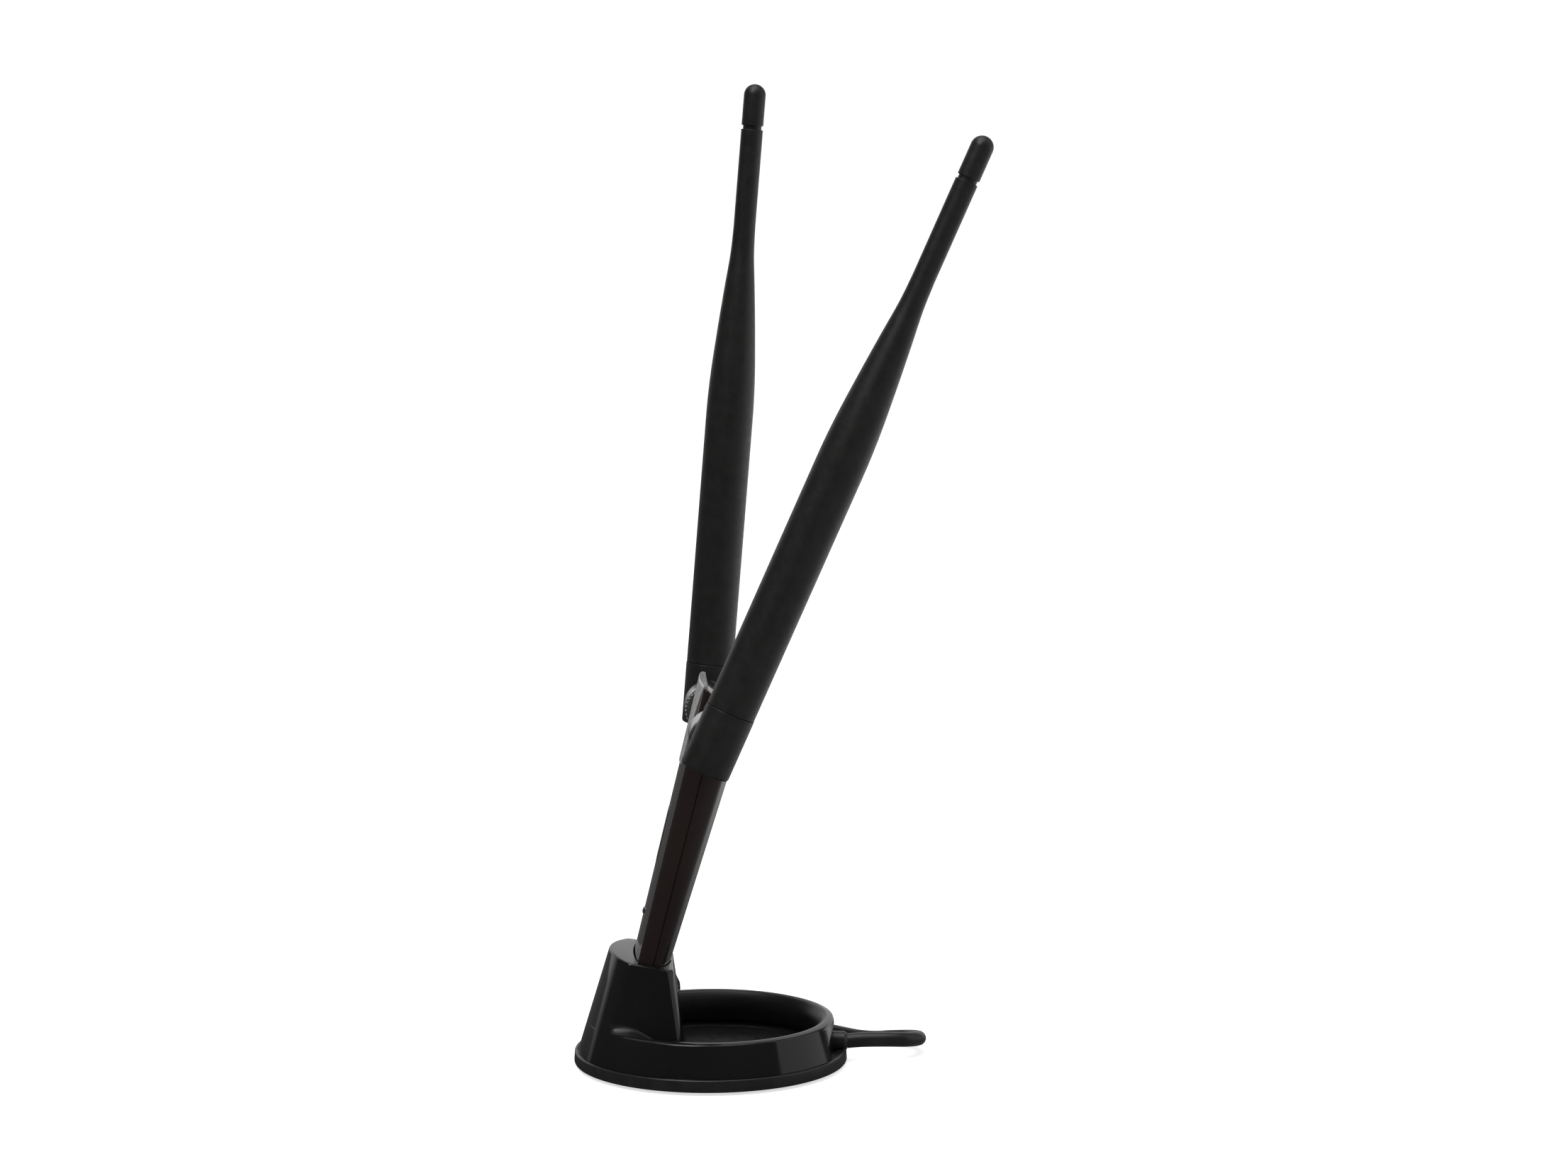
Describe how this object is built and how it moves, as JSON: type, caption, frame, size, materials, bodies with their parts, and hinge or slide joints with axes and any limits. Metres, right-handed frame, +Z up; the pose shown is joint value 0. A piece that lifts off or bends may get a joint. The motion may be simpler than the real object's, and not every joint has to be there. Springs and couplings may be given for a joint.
{
  "type": "whip antenna network adapter in a desk cradle",
  "caption": "Leaning network adapter with a swivelling whip antenna on each side, standing in a round black cradle with a ring-shaped foot and a cable.",
  "frame": {"origin": "centre of the ring-shaped foot, on the desk", "axes": "+Z up, +X from the tower towards the cable exit, -Y towards the near antenna"},
  "size_m": [0.1087, 0.1593, 0.2634],
  "materials": {
    "gloss_black": "polished black moulding with sharp reflections",
    "satin_black": "fine satin black moulding",
    "soft_black": "soft matt black antenna cover",
    "rubber_pad": "black rubber",
    "silver_paint": "satin silver finish",
    "cable_jacket": "smooth black cable jacket",
    "plated_steel": "nickel plated sheet",
    "dark_steel": "zinc plated",
    "gold_plate": "gold plated",
    "board_green": "solder mask over glass laminate",
    "insulator": "plain moulded insulator",
    "blue_insulator": "plain moulded insulator",
    "smoke_lens": "smoked clear light window"
  },
  "bodies": {
    "cradle": {"cradle_shell": "gloss_black", "base_plate": "satin_black", "bowl_inlay": "satin_black", "ballast_plates": "dark_steel", "grip_pad": "rubber_pad", "base_screws": "dark_steel", "socket_shell": "plated_steel", "socket_tongue": "insulator", "socket_contacts": "gold_plate", "socket_board": "board_green", "inner_leads": "insulator", "cord_tube": "cable_jacket", "cord_tail": "cable_jacket", "cord_hank": "cable_jacket", "hank_tie": "satin_black", "cord_plug_grip": "satin_black", "cord_plug_shell": "plated_steel", "cord_plug_tongue": "blue_insulator", "cable_gland": "satin_black"},
    "adapter": {"front_shell": "gloss_black", "back_shell": "gloss_black", "silver_trim": "silver_paint", "status_lens": "smoke_lens", "main_board": "board_green", "radio_shield": "plated_steel", "button_switch": "dark_steel", "usb_plug_shell": "plated_steel", "usb_plug_tongue": "insulator", "usb_plug_contacts": "gold_plate", "near_jack": "gold_plate", "far_jack": "gold_plate", "near_jack_collar": "satin_black", "far_jack_collar": "satin_black"},
    "button": {"pairing_button": "gloss_black"},
    "near_swivel_body": {"near_swivel": "satin_black", "near_coax_pin": "gold_plate"},
    "near_antenna": {"near_housing": "soft_black", "near_hinge_pin": "dark_steel", "near_whip": "soft_black", "near_tip_cap": "soft_black", "near_radiator": "gold_plate"},
    "near_nut_body": {"near_nut": "silver_paint"},
    "far_swivel_body": {"far_swivel": "satin_black", "far_coax_pin": "gold_plate"},
    "far_antenna": {"far_housing": "soft_black", "far_hinge_pin": "dark_steel", "far_whip": "soft_black", "far_tip_cap": "soft_black", "far_radiator": "gold_plate"},
    "far_nut_body": {"far_nut": "silver_paint"}
  },
  "joints": [
    {"name": "adapter_lift", "type": "slide", "parent": "cradle", "child": "adapter", "axis": [0.2375, 0, 0.9714], "range_m": [0, 0.034]},
    {"name": "button_press", "type": "slide", "parent": "adapter", "child": "button", "axis": [0.9714, 0, -0.2375], "range_m": [0, 0.0005], "stiffness_N_per_m": 2500, "springref_m": -0.0002},
    {"name": "near_swing", "type": "hinge", "parent": "adapter", "child": "near_swivel_body", "pos_m": [0.00054, -0.0427, 0.09345], "axis": [0, 1, 0], "range_deg": [-129, 81]},
    {"name": "near_tilt", "type": "hinge", "parent": "near_swivel_body", "child": "near_antenna", "pos_m": [0.00054, -0.0427, 0.09345], "axis": [0.9132, 0, -0.4075], "range_deg": [0, 90]},
    {"name": "near_nut_turn", "type": "hinge", "parent": "adapter", "child": "near_nut_body", "pos_m": [0.00054, -0.0427, 0.09345], "axis": [0, 1, 0], "continuous": true},
    {"name": "far_swing", "type": "hinge", "parent": "adapter", "child": "far_swivel_body", "pos_m": [0.00054, 0.0427, 0.09345], "axis": [0, 1, 0], "range_deg": [-109, 100]},
    {"name": "far_tilt", "type": "hinge", "parent": "far_swivel_body", "child": "far_antenna", "pos_m": [0.00054, 0.0427, 0.09345], "axis": [-0.9966, 0, 0.0828], "range_deg": [0, 90]},
    {"name": "far_nut_turn", "type": "hinge", "parent": "adapter", "child": "far_nut_body", "pos_m": [0.00054, 0.0427, 0.09345], "axis": [0, 1, 0], "continuous": true}
  ]
}
